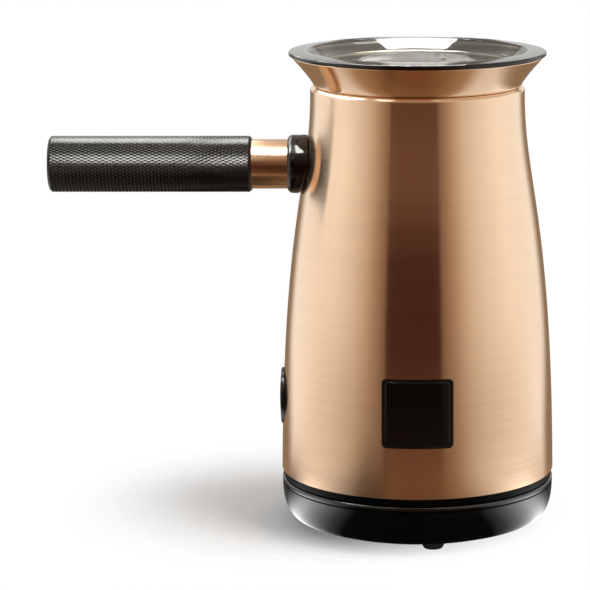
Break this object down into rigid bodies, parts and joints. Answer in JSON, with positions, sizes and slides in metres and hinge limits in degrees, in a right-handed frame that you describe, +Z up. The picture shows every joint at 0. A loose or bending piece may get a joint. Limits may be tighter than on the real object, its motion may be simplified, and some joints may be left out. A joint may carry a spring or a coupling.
{
  "type": "milk frother",
  "caption": "Cordless jug-type milk frother: waisted metal body, flared pouring collar, dished lid, straight side handle with a knurled grip, push button, round power base.",
  "frame": {"origin": "body axis at table level, in the plane the feet stand on", "axes": "+Z up along the body axis, handle along -X, badge facing -Y"},
  "size_m": [0.2197, 0.1198, 0.2105],
  "materials": {
    "copper": "brushed copper-coloured steel",
    "gloss_black": "polished",
    "soft_black": "satin",
    "inner_black": "moulded",
    "smoke": "clear, smoke tint",
    "rubber": "matte",
    "seal": "satin",
    "steel": "satin",
    "grip_metal": "anodised, diamond knurl",
    "aluminium": "cast",
    "brass": "plain",
    "board": "satin",
    "magnet": "plated",
    "white_plastic": "satin"
  },
  "bodies": {
    "power_base": {"base_lower_housing": "gloss_black", "base_top_cover": "gloss_black", "base_feet": "rubber", "base_connector": "inner_black", "base_contacts": "brass", "base_connector_screws": "steel", "base_screws": "steel", "cord_inlet": "rubber"},
    "jug": {"outer_shell": "copper", "pouring_collar": "copper", "vessel_seal": "seal", "inner_vessel": "steel", "whisk_spindle": "steel", "jug_base_ring": "gloss_black", "jug_bottom_plate": "inner_black", "bottom_screws": "steel", "jug_connector": "inner_black", "jug_contacts": "brass", "control_board": "board", "board_parts": "inner_black", "board_screws": "steel", "heat_plate": "aluminium", "heating_element": "steel", "temperature_sensor": "white_plastic", "thermal_cutout": "inner_black", "motor_bracket": "steel", "motor_body": "steel", "motor_screws": "steel", "bracket_nuts": "steel", "badge_frame": "inner_black", "front_badge": "gloss_black", "button_bezel": "gloss_black", "button_nut": "inner_black", "tact_switch": "inner_black", "switch_board": "board", "switch_bracket": "inner_black", "handle_bracket": "steel", "handle_collar": "gloss_black", "handle_tube": "copper", "handle_grip": "grip_metal", "handle_bolt": "steel", "handle_end_cap": "grip_metal"},
    "drive_rotor": {"motor_shaft": "steel", "magnet_carrier": "inner_black", "drive_magnets": "magnet"},
    "whisk": {"whisk_rotor": "soft_black", "whisk_magnets": "magnet"},
    "lid": {"lid_dish": "smoke", "lid_seal": "seal"},
    "power_button": {"button_cap": "gloss_black", "switch_plunger": "white_plastic"}
  },
  "joints": [
    {"name": "jug_lift", "type": "slide", "parent": "power_base", "child": "jug", "axis": [0, 0, 1], "range_m": [0, 0.06]},
    {"name": "lid_lift", "type": "slide", "parent": "jug", "child": "lid", "axis": [0, 0, 1], "range_m": [0, 0.06]},
    {"name": "motor_spin", "type": "hinge", "parent": "jug", "child": "drive_rotor", "pos_m": [0, 0, 0.08], "axis": [0, 0, 1], "continuous": true},
    {"name": "whisk_spin", "type": "hinge", "parent": "jug", "child": "whisk", "pos_m": [0, 0, 0.1], "axis": [0, 0, 1], "continuous": true},
    {"name": "button_press", "type": "slide", "parent": "jug", "child": "power_button", "axis": [1, 0, 0], "range_m": [0, 0.0012], "stiffness_N_per_m": 1200, "springref_m": -0.0005}
  ],
  "couplings": [
    {"joint": "whisk_spin", "follows": "motor_spin", "ratio": 1}
  ]
}
